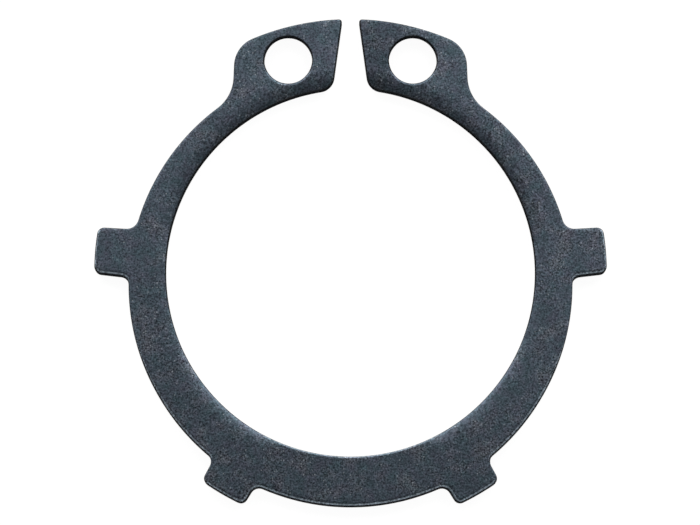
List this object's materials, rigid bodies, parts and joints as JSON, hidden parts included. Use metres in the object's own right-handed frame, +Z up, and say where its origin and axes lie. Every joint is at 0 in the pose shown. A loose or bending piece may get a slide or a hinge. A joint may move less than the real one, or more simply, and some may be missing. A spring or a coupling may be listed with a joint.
{
  "type": "external retaining ring with lugs",
  "caption": "Flat spring steel retaining ring with an eccentric rim, four lugs on its outer edge, and two ears with plier holes beside an open gap.",
  "frame": {"origin": "centre of the shaft circle, on the lower face that the ring rests on", "axes": "+Z up through the thickness along the shaft, +Y towards the gap between the ears, +X across, towards the right-hand ear"},
  "size_m": [0.0256, 0.0244, 0.0012],
  "materials": {
    "phosphated_steel": "dark blue-grey phosphate coat, semi-matt, on stamped spring steel"
  },
  "bodies": {
    "root": {"spring_clip": "phosphated_steel"}
  },
  "joints": []
}
